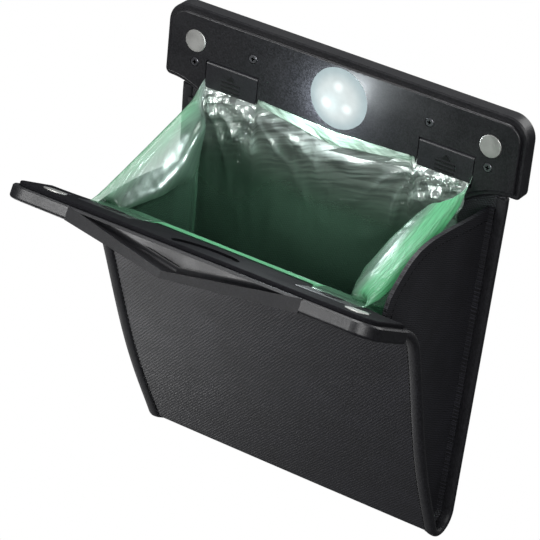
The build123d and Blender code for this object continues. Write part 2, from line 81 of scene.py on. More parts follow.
# each of these adds one node and gives the socket with its result
def arith(tree, operation, *values, clamp=False):
    settings = {"operation": operation, "use_clamp": clamp}
    return addNode(tree, "ShaderNodeMath", settings, dict(enumerate(values))).outputs[0]


def vectorArith(tree, operation, *values):
    made = addNode(tree, "ShaderNodeVectorMath", {"operation": operation}, dict(enumerate(values)))
    return made.outputs["Value" if operation in ("LENGTH", "DISTANCE", "DOT_PRODUCT") else "Vector"]


def remap(tree, value, spanIn, spanOut, curve="LINEAR"):
    inputs = dict(enumerate((value, *spanIn, *spanOut)))
    return addNode(tree, "ShaderNodeMapRange", {"interpolation_type": curve}, inputs).outputs[0]


def blendColour(tree, share, first, second):
    return addNode(tree, "ShaderNodeMix", {"data_type": "RGBA"}, {0: share, 6: first, 7: second}).outputs[2]


def blendValue(tree, share, first, second):
    return addNode(tree, "ShaderNodeMix", {"data_type": "FLOAT"}, {0: share, 2: first, 3: second}).outputs[0]


def blendShader(tree, share, first, second):
    return addNode(tree, "ShaderNodeMixShader", {}, {0: share, 1: first, 2: second}).outputs[0]


def bumped(tree, height, strength, distance):
    inputs = {"Height": height, "Strength": strength, "Distance": distance}
    return addNode(tree, "ShaderNodeBump", {}, inputs).outputs[0]


def coordinates(tree, name):
    return addNode(tree, "ShaderNodeTexCoord", {}, {}).outputs[name]


# these two give all sockets of their node
def noiseAt(tree, place, scale, detail, roughness=0.5):
    inputs = {"Vector": place, "Scale": scale, "Detail": detail, "Roughness": roughness}
    return addNode(tree, "ShaderNodeTexNoise", {}, inputs).outputs


def axesOf(tree, vector):
    return addNode(tree, "ShaderNodeSeparateXYZ", {}, {0: vector}).outputs


def newMaterial(name):
    material = bpy.data.materials.new(name)
    material.use_nodes = True
    tree = material.node_tree
    tree.nodes.clear()
    return material, tree


def setSurface(tree, shader):
    addNode(tree, "ShaderNodeOutputMaterial", {}, {"Surface": shader})


def principled(tree, inputs):
    setSurface(tree, addNode(tree, "ShaderNodeBsdfPrincipled", {}, inputs).outputs[0])


def addObject(name, data):
    obj = bpy.data.objects.new(name, data)
    bpy.context.scene.collection.objects.link(obj)
    return obj


def newMesh(name, points, faces, material):
    mesh = bpy.data.meshes.new(name)
    mesh.from_pydata([tuple(p) for p in points], [], faces)
    mesh.polygons.foreach_set("use_smooth", [True] * len(mesh.polygons))
    mesh.materials.append(material)
    return addObject(name, mesh)


# swaps an object's mesh for its evaluated one and takes the modifiers off
def bake(obj):
    bpy.context.view_layer.update()
    depsgraph = bpy.context.evaluated_depsgraph_get()
    mesh = bpy.data.meshes.new_from_object(obj.evaluated_get(depsgraph))
    obj.modifiers.clear()
    obj.data = mesh
    mesh.set_sharp_from_angle(angle=sharpAngle)
    return obj


# thickness in millimetres, half to each side
def thicken(obj, thickness):
    solid = obj.modifiers.new("thickness", "SOLIDIFY")
    solid.thickness = thickness * mm
    solid.offset = 0
    return bake(obj)


def gridFaces(rows, columns, closed=False):
    faces = []
    for i in range(rows - 1):
        for j in range(columns if closed else columns - 1):
            k = (j + 1) % columns
            faces.append((i * columns + j, i * columns + k, (i + 1) * columns + k, (i + 1) * columns + j))
    return faces


def flipped(faces):
    return [tuple(reversed(face)) for face in faces]


def setUv(obj, flat):
    layer = obj.data.uv_layers.new(name="flat")
    corner = np.empty(len(obj.data.loops), int)
    obj.data.loops.foreach_get("vertex_index", corner)
    layer.data.foreach_set("uv", np.asarray(flat)[corner].ravel())


def setValue(obj, name, values):
    attribute = obj.data.attributes.new(name, "FLOAT", "POINT")
    attribute.data.foreach_set("value", np.asarray(values, np.float32))


# the camera stands where the photograph was taken from
cameraValues = {
    "place": (0.62485, -1.1429, 0.61852), "yaw": 0.5238, "pitch": 0.5076, "roll": 0.103, "lens": 192.62,
    "sensor": 36, "reach": 20,
}


def addCamera(values):
    yaw, pitch, roll = values["yaw"], values["pitch"], values["roll"]
    back = Vector((math.sin(yaw) * math.cos(pitch), -math.cos(yaw) * math.cos(pitch), math.sin(pitch)))
    side = Vector((0, 0, 1)).cross(back).normalized()
    up = back.cross(side)
    axes = (side * math.cos(roll) + up * math.sin(roll), up * math.cos(roll) - side * math.sin(roll), back)
    data = bpy.data.cameras.new("photoCamera")
    data.lens = values["lens"]
    data.sensor_width = values["sensor"]
    data.clip_end = values["reach"]
    camera = addObject("photoCamera", data)
    camera.matrix_world = Matrix.Translation(values["place"]) @ Matrix(axes).transposed().to_4x4()
    bpy.context.scene.camera = camera


addCamera(cameraValues)
print("camera placed")

# soft studio light round a white set; each light has its place, size and power, and the lamp sits at its lens
lightValues = {
    "lights": {
        "keyLight": ((0.75, -1.05, 0.45), 0.7, 14), "sideLight": ((-0.6, -1.15, 0.3), 0.45, 12),
        "lowLight": ((-0.5, -0.1, -0.65), 0.3, 1.3), "topLight": ((-0.2, 0.3, 1.25), 0.8, 18),
        "rearLight": ((0.4, 1.3, 0.5), 0.7, 9),
    },
    "aim": (0, -0.06, -0.09),
    "lampPlace": (-0.004, -0.0185, -0.003), "lampSize": 0.005, "lampPower": 0.38, "lampColour": "#f2fbff",
    "sky": (0.07, 0.36), "skyHeights": (-0.3, 0.6), "skyColour": "#eef1f5",
    "background": 1.0, "backgroundColour": "#ffffff",
}


def addLights(values):
    for name, (place, size, power) in values["lights"].items():
        data = bpy.data.lights.new(name, "AREA")
        data.shape = "DISK"
        data.size = size
        data.energy = power
        light = addObject(name, data)
        light.location = place
        light.rotation_euler = (Vector(place) - Vector(values["aim"])).to_track_quat("Z", "Y").to_euler()
    lamp = bpy.data.lights.new("lampLight", "POINT")
    lamp.energy = values["lampPower"]
    lamp.shadow_soft_size = values["lampSize"] / 2
    lamp.color = linear(values["lampColour"])[:3]
    addObject("lampLight", lamp).location = values["lampPlace"]


# the sky lights softly from above, and the camera sees a plain white set
def addWorld(values):
    world = bpy.data.worlds.new("studio")
    world.use_nodes = True
    tree = world.node_tree
    tree.nodes.clear()
    path = addNode(tree, "ShaderNodeLightPath", {}, {})
    sky = remap(tree, axesOf(tree, coordinates(tree, "Generated"))[2], values["skyHeights"], values["sky"])
    shades = []
    for colour, strength in ((values["skyColour"], sky), (values["backgroundColour"], values["background"])):
        inputs = {"Color": linear(colour), "Strength": strength}
        shades.append(addNode(tree, "ShaderNodeBackground", {}, inputs).outputs[0])
    mixed = blendShader(tree, path.outputs["Is Camera Ray"], *shades)
    addNode(tree, "ShaderNodeOutputWorld", {}, {"Surface": mixed})
    bpy.context.scene.world = world
    bpy.context.scene.view_settings.view_transform = "Standard"


addLights(lightValues)
addWorld(lightValues)
print("studio lit")

# noise between these values takes a roughness from one end of its spread to the other
smearSpan = (0.3, 0.7)


def smeared(tree, place, roughness, values):
    smear = noiseAt(tree, place, values["smearScale"], values["smearDetail"])[0]
    return remap(tree, smear, smearSpan, [roughness + spread for spread in values["roughSpread"]])


# painted shade: tone that turns dark on one side of a face across the depth
def shaded(tree, place, tone, operation, face, dark):
    return blendColour(tree, arith(tree, operation, axesOf(tree, place)[1], face), tone, linear(dark))


# moulded ABS: near black with a spark-eroded speckle, drawn as coarse as it needs to show
plasticValues = {
    "grainDetail": 3, "grainRough": 0.6, "speckle": (0.38, 0.68), "smearScale": 55, "smearDetail": 4,
    "roughSpread": (-0.04, 0.05), "bump": 0.5, "bumpShare": 0.15, "markShadeColour": "#020203",
}


# marks that stand proud of markFace are painted darker, a painted shade lining them
def mouldedPlastic(name, colour, paleColour, roughness, grain, sheen, markFace=None):
    values = plasticValues
    material, tree = newMaterial(name)
    place = coordinates(tree, "Object")
    fine = noiseAt(tree, place, 1 / grain, values["grainDetail"], values["grainRough"])[0]
    tone = blendColour(tree, remap(tree, fine, values["speckle"], (0, 1)), linear(colour), linear(paleColour))
    if markFace is not None:
        tone = shaded(tree, place, tone, "LESS_THAN", markFace, values["markShadeColour"])
    rough = smeared(tree, place, roughness, values)
    normal = bumped(tree, fine, values["bump"], values["bumpShare"] * grain)
    principled(tree, {"Base Color": tone, "Roughness": rough, "Normal": normal, "Specular IOR Level": sheen})
    return material


# metal: plated or blackened, with fine marks and smears
metalValues = {
    "markScale": 2600, "markDetail": 2, "smearScale": 160, "smearDetail": 3, "roughSpread": (-0.06, 0.08),
    "bump": 0.15, "bumpDepth": 0.04 * mm, "slotShadeColour": "#060607",
}


# what lies behind slotFace is a driver slot, painted dark as shade in its recess
def platedMetal(name, colour, roughness, slotFace=None):
    values = metalValues
    material, tree = newMaterial(name)
    place = coordinates(tree, "Object")
    marks = noiseAt(tree, place, values["markScale"], values["markDetail"])[0]
    rough = smeared(tree, place, roughness, values)
    tone = linear(colour)
    if slotFace is not None:
        tone = shaded(tree, place, tone, "GREATER_THAN", slotFace, values["slotShadeColour"])
    normal = bumped(tree, marks, values["bump"], values["bumpDepth"])
    principled(tree, {"Base Color": tone, "Metallic": 1, "Roughness": rough, "Normal": normal})
    return material


# milky push lens, lit from behind by three emitters
lensValues = {
    "ring": 7.0 * mm, "turns": (90, 210, 330), "spot": 4.2 * mm, "spotGlow": 0.4, "milk": 0.83,
    "edge": (8 * mm, 16.3 * mm), "cloudScale": 220, "cloudDetail": 2, "cloudSpan": (0.2, 0.8),
    "cloud": (0.94, 1.06), "roughness": 0.35, "bodyColour": "#030404", "edgeColour": "#c3d6da",
    "midColour": "#eef8f8",
}


def litLens(values):
    material, tree = newMaterial("milkyAcrylic")
    place = coordinates(tree, "Object")
    flat = vectorArith(tree, "MULTIPLY", place, (1, 0, 1))
    middle = remap(tree, vectorArith(tree, "LENGTH", flat), values["edge"], (1, 0), "SMOOTHSTEP")
    tone = blendColour(tree, middle, linear(values["edgeColour"]), linear(values["midColour"]))
    cloud = noiseAt(tree, place, values["cloudScale"], values["cloudDetail"])[0]
    glow = remap(tree, cloud, values["cloudSpan"], [share * values["milk"] for share in values["cloud"]])
    for turn in values["turns"]:
        at = (values["ring"] * math.cos(math.radians(turn)), 0, values["ring"] * math.sin(math.radians(turn)))
        away = vectorArith(tree, "DISTANCE", flat, at)
        spot = remap(tree, away, (0, values["spot"]), (values["spotGlow"], 0), "SMOOTHSTEP")
        glow = arith(tree, "ADD", glow, spot)
    principled(tree, {"Base Color": linear(values["bodyColour"]), "Roughness": values["roughness"],
                      "Emission Color": tone, "Emission Strength": glow, "Specular IOR Level": 0.0})
    return material


# cross-grain embossed leather: fine slanted ridges crossed by shallower ones, satin finish
leatherValues = {
    "ridge": 1.0 * mm, "cross": 1.4 * mm, "lean": -24, "crossLean": 50, "depth": 0.2 * mm, "bump": 0.6,
    "driftScale": 260, "drift": 1.4 * mm, "breakScale": 520, "breakSpan": (0.35, 0.65),
    "crossShare": (0.15, 0.7), "patchScale": 38, "crestSpan": (0.3, 0.95), "crest": (0, 1.1),
    "glossSpan": (0, 0.6), "rough": (0.58, 0.42), "sheen": 0.4, "colour": "#08080a", "highlightColour": "#38383f",
}


def crossGrain(name, values):
    material, tree = newMaterial(name)
    flat = addNode(tree, "ShaderNodeUVMap", {"uv_map": "flat"}, {}).outputs[0]
    drift = noiseAt(tree, flat, values["driftScale"], 2)["Color"]
    moved = vectorArith(tree, "MULTIPLY_ADD", drift, (values["drift"], values["drift"], 0), flat)
    ridges = []
    for lean, pitch in ((values["lean"], values["ridge"]), (values["crossLean"], values["cross"])):
        turned = addNode(tree, "ShaderNodeMapping", {},
                         {"Vector": moved, "Rotation": (0, 0, math.radians(90 - lean))}).outputs[0]
        # a wave texture has 20 / (2 pi) bands per unit of scale
        wave = {"Vector": turned, "Scale": 2 * math.pi / (20 * pitch), "Distortion": 0}
        ridges.append(addNode(tree, "ShaderNodeTexWave", {}, wave).outputs["Fac"])
    broken = noiseAt(tree, flat, values["breakScale"], 1)[0]
    height = blendValue(tree, remap(tree, broken, values["breakSpan"], values["crossShare"]), *ridges)
    crest = remap(tree, height, values["crestSpan"], values["crest"])
    # painted highlight: the crests of the grain are painted lighter in random patches, and are glossier there
    crestHighlight = arith(tree, "MULTIPLY", crest, noiseAt(tree, flat, values["patchScale"], 4)[0])
    principled(tree, {"Base Color": blendColour(tree, crestHighlight, linear(values["colour"]), linear(values["highlightColour"])),
                      "Roughness": remap(tree, crestHighlight, values["glossSpan"], values["rough"]),
                      "Normal": bumped(tree, height, values["bump"], values["depth"]),
                      "Specular IOR Level": values["sheen"]})
    return material


# green bag film: thin and see-through; where it hangs from the header it is denser and painted whiter, a
# painted glare of the lamp; dense green and pleated along the gathered rim, crinkled like foil under the
# header clips
filmValues = {
    "clear": "#cfe2d6", "smoky": "#a9b3ae", "deep": "#86c29d", "veil": "#e0e7e3", "rim": "#74cb94",
    "shine": "#f2fff7", "facet": 6 * mm, "facetBend": 10 * mm, "facetTall": 0.55, "bendScale": 90,
    "facetRows": ((1, 0.75), (2.3, 0.5)),
    "fold": 6 * mm, "foldBend": 3 * mm, "foldLean": 20, "foldStretch": 0.11, "foldDepth": 1.0, "fade": 2.2,
    "pleat": 1.1 * mm, "pleatStretch": 0.06, "pleatDepth": 1.1 * mm, "bump": 0.8,
    "streakSpan": (0.35, 0.65), "streak": (0.6, 1.2), "layerSpan": (0.4, 0.62), "layers": (0.4, 1.8),
    "deepDensity": 0.165, "veilDensity": 0.24, "rimDensity": 0.8,
    "roughness": 0.3, "gloss": 0.05, "foilGloss": 0.24, "foilSpan": (0, 0.6), "rimGloss": 0.35,
}


# flat facets tilted at random, as in crushed foil
def foilFacets(tree, place, facet, bend, values):
    bent = noiseAt(tree, place, values["bendScale"], 2)["Color"]
    moved = vectorArith(tree, "MULTIPLY_ADD", bent, (bend, bend, bend), place)
    total = 0.0
    for finer, size in values["facetRows"]:
        cell = addNode(tree, "ShaderNodeTexVoronoi", {}, {"Vector": moved, "Scale": finer / facet}).outputs
        away = vectorArith(tree, "SUBTRACT", moved, cell["Position"])
        tilt = vectorArith(tree, "SUBTRACT", cell["Color"], (0.5, 0.5, 0.5))
        total = arith(tree, "MULTIPLY_ADD", vectorArith(tree, "DOT_PRODUCT", away, tilt), size, total)
    return total


def bagFilm(values):
    material, tree = newMaterial("polytheneFilm")
    place = coordinates(tree, "Object")
    flat = addNode(tree, "ShaderNodeUVMap", {"uv_map": "flat"}, {}).outputs[0]
    shares = []
    for name in ("rim", "veil", "crinkle", "smoke"):
        shares.append(addNode(tree, "ShaderNodeAttribute", {"attribute_name": name}, {}).outputs["Fac"])
    rim, veil, crinkle, smoke = shares
    # relief: facets under the clips, slanted folds below the header, pleats along the rim
    tall = vectorArith(tree, "MULTIPLY", place, (1, 1, values["facetTall"]))
    facets = arith(tree, "MULTIPLY", foilFacets(tree, tall, values["facet"], values["facetBend"], values),
                   arith(tree, "POWER", crinkle, values["fade"]))
    leant = addNode(tree, "ShaderNodeMapping", {},
                    {"Vector": flat, "Rotation": (0, 0, math.radians(values["foldLean"]))}).outputs[0]
    pulled = vectorArith(tree, "MULTIPLY", leant, (values["foldStretch"], 1, 1))
    folds = arith(tree, "MULTIPLY", foilFacets(tree, pulled, values["fold"], values["foldBend"], values),
                  arith(tree, "POWER", veil, values["fade"]))
    creased = arith(tree, "MULTIPLY_ADD", folds, values["foldDepth"], facets)
    drawn = vectorArith(tree, "MULTIPLY", flat, (values["pleatStretch"], 1, 0))
    pleats = noiseAt(tree, drawn, 1 / values["pleat"], 2)[0]
    height = arith(tree, "MULTIPLY_ADD", arith(tree, "MULTIPLY", pleats, rim), values["pleatDepth"], creased)
    bump = bumped(tree, height, values["bump"], 1.0)
    # density: streaked along the rim, layered where the film hangs double
    streak = remap(tree, pleats, values["streakSpan"], values["streak"])
    streaked = arith(tree, "MULTIPLY", rim, streak, clamp=True)
    hung = remap(tree, veil, (0, 1), (values["deepDensity"], values["veilDensity"]))
    layers = noiseAt(tree, pulled, 2 / values["fold"], 2)[0]
    doubled = remap(tree, layers, values["layerSpan"], values["layers"])
    folded = arith(tree, "MULTIPLY", hung, blendValue(tree, veil, 1.0, doubled))
    density = blendValue(tree, streaked, folded, values["rimDensity"])
    # painted glare: the tone turns near white under the header, where the veil hangs and the lamp shines
    pale = blendColour(tree, veil, linear(values["deep"]), linear(values["veil"]))
    tone = blendColour(tree, rim, pale, linear(values["rim"]))
    seen = blendColour(tree, smoke, linear(values["clear"]), linear(values["smoky"]))
    clear = addNode(tree, "ShaderNodeBsdfTransparent", {}, {"Color": seen}).outputs[0]
    lit, face = [addNode(tree, "ShaderNodeBsdf" + kind, {}, {"Color": tone, "Normal": bump}).outputs[0]
                 for kind in ("Translucent", "Diffuse")]
    sheet = blendShader(tree, density, clear, blendShader(tree, 0.5, lit, face))
    # gloss: more on the foil, less on the rim
    glossy = {"Color": linear(values["shine"]), "Roughness": values["roughness"], "Normal": bump}
    shine = addNode(tree, "ShaderNodeBsdfGlossy", {}, glossy).outputs[0]
    gloss = remap(tree, crinkle, values["foilSpan"], (values["gloss"], values["foilGloss"]))
    gleam = arith(tree, "MULTIPLY", gloss, remap(tree, rim, (0, 1), (1, values["rimGloss"])))
    setSurface(tree, blendShader(tree, gleam, sheet, shine))
    return material


# the arrow marks stand out of the clips, and the slots lie behind the screws' faces; both are painted dark as
# shade
markDepth, slotDepth = 0.2 * mm, 0.3 * mm
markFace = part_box("header_clip_left")[0][1] + markDepth
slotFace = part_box("header_screws")[0][1] + slotDepth
absBlack = mouldedPlastic("absBlack", "#08080a", "#1d1d20", 0.41, 0.75 * mm, 0.36)
mattAbs = mouldedPlastic("mattAbs", "#09090b", "#1a1a1d", 0.75, 0.6 * mm, 0.05)
clipAbs = mouldedPlastic("clipAbs", "#0c0c0e", "#1e1e22", 0.42, 0.6 * mm, 0.4)
markedClip = mouldedPlastic("markedClipAbs", "#0c0c0e", "#1e1e22", 0.42, 0.6 * mm, 0.4, markFace)
tape = mouldedPlastic("bindingTape", "#0c0c0e", "#212125", 0.6, 0.9 * mm, 0.3)
thread = mouldedPlastic("waxedThread", "#040405", "#09090a", 0.5, 0.25 * mm, 0.15)
board = mouldedPlastic("solderMask", "#c9cbc8", "#dadcd8", 0.35, 0.4 * mm, 0.45)
nickel = platedMetal("nickelPlate", "#aaaaa7", 0.5)
steel = platedMetal("blackSteel", "#66666a", 0.34)
slottedSteel = platedMetal("slottedBlackSteel", "#707074", 0.34, slotFace)
leather = crossGrain("crossGrainLeather", leatherValues)
film = bagFilm(filmValues)
nodeMaterials = (
    (absBlack, ("header_rear_cover", "header_front_plate", "bar_cover", "battery_door")),
    (mattAbs, ("bar_plate",)),
    (clipAbs, ("bar_clip_left", "bar_clip_right", "lamp_switch")),
    (markedClip, ("header_clip_left", "header_clip_right")),
    (nickel, ("header_magnet_left", "header_magnet_right", "bar_magnet_left", "bar_magnet_right",
              "coin_cells", "cell_contact")),
    (slottedSteel, ("header_screws",)),
    (steel, ("bar_screws", "battery_door_screw")),
    (board, ("lamp_board", "lamp_emitters")),
    (litLens(lensValues), ("lamp_lens",)),
)
for material, names in nodeMaterials:
    for name in names:
        nodes[name].data.materials.clear()
        nodes[name].data.materials.append(material)
print("materials made")

# side view of the pouch, millimetres: back panel, round fold, front panel, bend, flap in the bar
pouch = {
    "backY": -2.95, "topZ": -14.0, "foldY": -11.75, "foldZ": -210.45, "foldRadius": 8.8, "panelLean": 22.8,
    "barLean": 63.3, "bendY": -79.27, "bendZ": -68.39, "bendRadius": 34.0, "bendBlend": 12.0, "flap": 34.0,
    "belly": 3.4, "bellyPlace": 0.8, "bellySharp": 1.5, "halfWidth": 94.5, "taper": 1.8, "taperTop": -30.0,
    "thickness": 1.6, "crown": 1.6, "crownY": -14, "crownZ": -62, "crownFade": 30, "columns": 64,
    "split": 0.5, "step": 1.6, "lining": 2.3, "shutBendY": -18.45, "shutBendZ": -53.0,
}


def runLength(points):
    return np.concatenate([[0], np.cumsum(np.linalg.norm(np.diff(points, axis=0), axis=1))])


def evenly(points, step):
    points = np.asarray(points, float)
    along = runLength(points)
    count = max(2, int(round(along[-1] / step)) + 1)
    at = np.linspace(0, along[-1], count)
    return np.stack([np.interp(at, along, points[:, k]) for k in range(points.shape[1])], 1)


def halfWidth(z):
    return pouch["halfWidth"] - np.maximum(pouch["taperTop"] - z, 0) * math.tan(math.radians(pouch["taper"]))


def direction(lean):
    return np.array([-math.sin(math.radians(lean)), math.cos(math.radians(lean))])


# back and fold, then the front as its own list, both running from the header towards the bar
def pouchLines(values):
    back = [(values["backY"], z) for z in np.linspace(values["topZ"], values["foldZ"], 60)]
    fold = []
    for a in np.radians(np.linspace(0, 180 - values["panelLean"], 40)):
        fold.append((values["foldY"] + values["foldRadius"] * math.cos(a),
                     values["foldZ"] - values["foldRadius"] * math.sin(a)))
    low, high = direction(values["panelLean"]), direction(values["barLean"])
    bend = np.array([values["bendY"], values["bendZ"]])
    half = math.radians(values["barLean"] - values["panelLean"]) / 2
    reach = values["bendRadius"] * math.tan(half)
    start = np.array(fold[-1])
    rise = bend - low * reach - start
    out = -np.array([low[1], -low[0]])
    front = []
    for s in np.linspace(0, 1, 60):
        swell = math.sin(math.pi * s ** values["bellyPlace"]) ** values["bellySharp"]
        front.append(start + rise * s + out * values["belly"] * swell)
    middle = bend - low * reach + out * values["bendRadius"]
    for a in np.linspace(0, 2 * half, 24)[1:]:
        lean = math.radians(values["panelLean"]) + a
        front.append(middle + values["bendRadius"] * np.array([math.cos(lean), math.sin(lean)]))
    front += [front[-1] + high * s for s in np.linspace(0, values["flap"], 14)[1:]]
    return evenly(back + fold[1:], values["step"]), evenly(front, values["step"])


def lineNormals(line):
    run = np.gradient(line, axis=0)
    run /= np.linalg.norm(run, axis=1)[:, None]
    return np.stack([-run[:, 1], run[:, 0]], 1)


backLine, frontLine = pouchLines(pouch)
splitAt = int(len(frontLine) * pouch["split"])
wholeLine = np.vstack([backLine, frontLine[1:]])
wholeAlong = runLength(wholeLine)
wholeNormal = lineNormals(wholeLine)
lowPart = slice(0, len(backLine) + splitAt)
highPart = slice(len(backLine) + splitAt - 1, len(wholeLine))
# outward is away from the pouch's room
outward = -wholeNormal if wholeNormal[5, 0] < 0 else wholeNormal
frontInner = (frontLine - outward[len(backLine) - 1:] * pouch["lining"])[::-1]
print("pouch line:", len(wholeLine), "points,", round(wholeAlong[-1]), "mm")

bendStep = direction((pouch["panelLean"] + pouch["barLean"]) / 2) * pouch["bendBlend"]
bendAt = np.array([pouch["bendY"], pouch["bendZ"]])
lowBlend = {"a": "header", "b": "front_panel", "start": (0, -0.0048, -0.2115), "end": (0, -0.0168, -0.2115)}
highBlend = {
    "a": "front_panel", "b": "bar",
    "start": (0, *((bendAt - bendStep) * mm)), "end": (0, *((bendAt + bendStep) * mm)),
}


def leatherSheet(name, part, values):
    line, out, along = wholeLine[part], outward[part], wholeAlong[part]
    points, flat = [], []
    for p, n, s in zip(line, out, along):
        wide = halfWidth(p[1])
        front = np.clip((values["crownY"] - p[0]) / values["crownFade"], 0, 1)
        front *= np.clip((values["crownZ"] - p[1]) / values["crownFade"], 0, 1)
        for u in np.linspace(-1, 1, values["columns"]):
            lift = values["crown"] * front * (1 - u * u)
            points.append((u * wide, p[0] + n[0] * lift, p[1] + n[1] * lift))
            flat.append((u * wide * mm, s * mm))
    obj = newMesh(name, np.array(points) * mm, gridFaces(len(line), values["columns"]), leather)
    setUv(obj, flat)
    return thicken(obj, values["thickness"])


leatherLow = leatherSheet("leatherWrapLow", lowPart, pouch)
leatherHigh = leatherSheet("leatherWrapHigh", highPart, pouch)
for piece, blend, node in ((leatherLow, lowBlend, "leather_back"), (leatherHigh, highBlend, "leather_front")):
    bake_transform(piece)
    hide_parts(node)
print("leather wrapped")

# rolled edge binding: section in millimetres, across the edge and off the sheet
bindingValues = {
    "section": ((-4.7, 1.1), (-4.2, 1.5), (-3.0, 1.85), (-1.2, 2.1), (0.2, 2.0), (1.05, 1.45), (1.5, 0.6)),
    "backTop": -25.0, "barEnd": 14.0,
}
stitchValues = {
    "pitch": 3.3 * mm, "length": 2.5 * mm, "thickness": 0.55 * mm, "inset": -4.9, "lift": 1.02,
    "segments": 10, "rings": 6,
}


def edgeFrames(part, side):
    keep = wholeLine[part][:, 1] < bindingValues["backTop"]
    line, out = wholeLine[part][keep], outward[part][keep]
    edge = np.stack([side * halfWidth(line[:, 1]), line[:, 0], line[:, 1]], 1)
    return edge, out, wholeAlong[part][keep]


def bindingTape(name, part, side, values):
    edge, out, along = edgeFrames(part, side)
    if part is highPart:
        stop = along < wholeAlong[-1] - values["barEnd"]
        edge, out = edge[stop], out[stop]
    section = list(values["section"]) + [(a, -b) for a, b in reversed(values["section"])]
    points = []
    for p, n in zip(edge, out):
        for a, b in section:
            points.append((p[0] + side * a, p[1] + n[0] * b, p[2] + n[1] * b))
    rows, columns = len(edge), len(section)
    faces = gridFaces(rows, columns, closed=True)
    faces += [tuple(range(columns)), tuple((rows - 1) * columns + j for j in reversed(range(columns)))]
    obj = newMesh(name, np.array(points) * mm, flipped(faces) if side > 0 else faces, tape)
    obj.modifiers.new("round", "SUBSURF").levels = 1
    return bake(obj)


# thread stitches laid along a line at an even pitch
def stitchTree(values):
    tree = bpy.data.node_groups.new("stitchRun", "GeometryNodeTree")
    for name, kind in (("Line", "Geometry"), ("Pitch", "Float"), ("Length", "Float"), ("Thickness", "Float"),
                       ("Thread", "Material")):
        tree.interface.new_socket(name, in_out="INPUT", socket_type="NodeSocket" + kind)
    tree.interface.new_socket("Stitches", in_out="OUTPUT", socket_type="NodeSocketGeometry")
    given = addNode(tree, "NodeGroupInput", {}, {}).outputs
    curve = addNode(tree, "GeometryNodeMeshToCurve", {}, {"Mesh": given["Line"]}).outputs[0]
    spots = addNode(tree, "GeometryNodeCurveToPoints", {"mode": "LENGTH"},
                    {"Curve": curve, "Length": given["Pitch"]}).outputs
    bead = addNode(tree, "GeometryNodeMeshUVSphere", {},
                   {"Segments": values["segments"], "Rings": values["rings"], "Radius": 0.5}).outputs[0]
    size = addNode(tree, "ShaderNodeCombineXYZ", {},
                   {0: given["Thickness"], 1: given["Thickness"], 2: given["Length"]}).outputs[0]
    stitch = addNode(tree, "GeometryNodeTransform", {}, {"Geometry": bead, "Scale": size}).outputs[0]
    row = {"Points": spots["Points"], "Instance": stitch, "Rotation": spots["Rotation"]}
    placed = addNode(tree, "GeometryNodeInstanceOnPoints", {}, row).outputs[0]
    real = addNode(tree, "GeometryNodeRealizeInstances", {}, {"Geometry": placed}).outputs[0]
    soft = addNode(tree, "GeometryNodeSetShadeSmooth", {}, {"Geometry": real}).outputs[0]
    done = addNode(tree, "GeometryNodeSetMaterial", {}, {"Geometry": soft, "Material": given["Thread"]})
    addNode(tree, "NodeGroupOutput", {}, {"Stitches": done.outputs[0]})
    return tree


stitches = stitchTree(stitchValues)


def stitchRun(name, line, values):
    mesh = bpy.data.meshes.new(name)
    mesh.from_pydata([tuple(p) for p in line], [(i, i + 1) for i in range(len(line) - 1)], [])
    obj = addObject(name, mesh)
    run = obj.modifiers.new("stitches", "NODES")
    run.node_group = stitches
    given = {"Pitch": values["pitch"], "Length": values["length"], "Thickness": values["thickness"],
             "Thread": thread}
    for item in stitches.interface.items_tree:
        if item.name in given:
            run[item.identifier] = given[item.name]
    return bake(obj)


sewnOn = {"Low": [], "High": []}
for label, side in (("Left", -1), ("Right", 1)):
    for level, part, blend in (("Low", lowPart, lowBlend), ("High", highPart, highBlend)):
        tapePiece = bindingTape("binding" + level + label, part, side, bindingValues)
        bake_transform(tapePiece)
        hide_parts("edge_binding_" + label.lower())
        inset, lift = side * stitchValues["inset"], stitchValues["lift"]
        edge, out, _ = edgeFrames(part, side)
        line = [(p[0] + inset, p[1] + n[0] * lift, p[2] + n[1] * lift) for p, n in zip(edge, out)]
        run = stitchRun("bindingStitch" + level + label, np.array(line) * mm, stitchValues)
        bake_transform(run)
        sewnOn[level] += [tapePiece, run]
print("bindings sewn")

# side gussets: the right one stands flat with a round lobe at the bar, the left one folds in along a crease
gussetValues = {
    "inset": 7.5, "backY": -5.6, "backZ": -31.0, "flange": 3.6, "flangeBack": 0.2, "thickness": 1.2,
    "hemThickness": 2.1, "hemRows": 3, "dish": 2.2, "dishFrom": 0.12, "tuck": 21.0, "crease": 0.46,
    "creaseRound": 0.004, "creaseGain": 1.04, "topPull": 6, "rows": 80, "columns": 56,
    "bandRatio": 1.3, "bandRows": 7, "shutRooms": (10.0, 11.2, 13.8),
    "topFlat": ((-5.6, -31.2), (-22.6, -30.6), (-44.7, -28.4), (-62.3, -26.9), (-76.0, -27.6), (-86.0, -31.0),
                (-94.0, -36.0), (-95.5, -42.5)),
    "topTucked": ((-5.6, -31.2), (-20.0, -36.0), (-36.0, -42.6), (-44.0, -45.0), (-56.0, -46.6),
                  (-72.0, -49.5), (-88.0, -53.5)),
}


# a smooth curve through the points, sampled evenly
def smoothLine(points, count):
    points = np.asarray(points, float)
    along = runLength(points)
    final = len(points) - 1
    out = []
    for s in np.linspace(0, along[-1], count):
        i = min(np.searchsorted(along, s, side="right") - 1, final - 1)
        t = (s - along[i]) / (along[i + 1] - along[i])
        p0, p1, p2, p3 = points[max(i - 1, 0)], points[i], points[i + 1], points[min(i + 2, final)]
        square, cube = 2 * p0 - 5 * p1 + 4 * p2 - p3, 3 * p1 - p0 - 3 * p2 + p3
        out.append(0.5 * (2 * p1 + (p2 - p0) * t + square * t ** 2 + cube * t ** 3))
    return np.array(out)


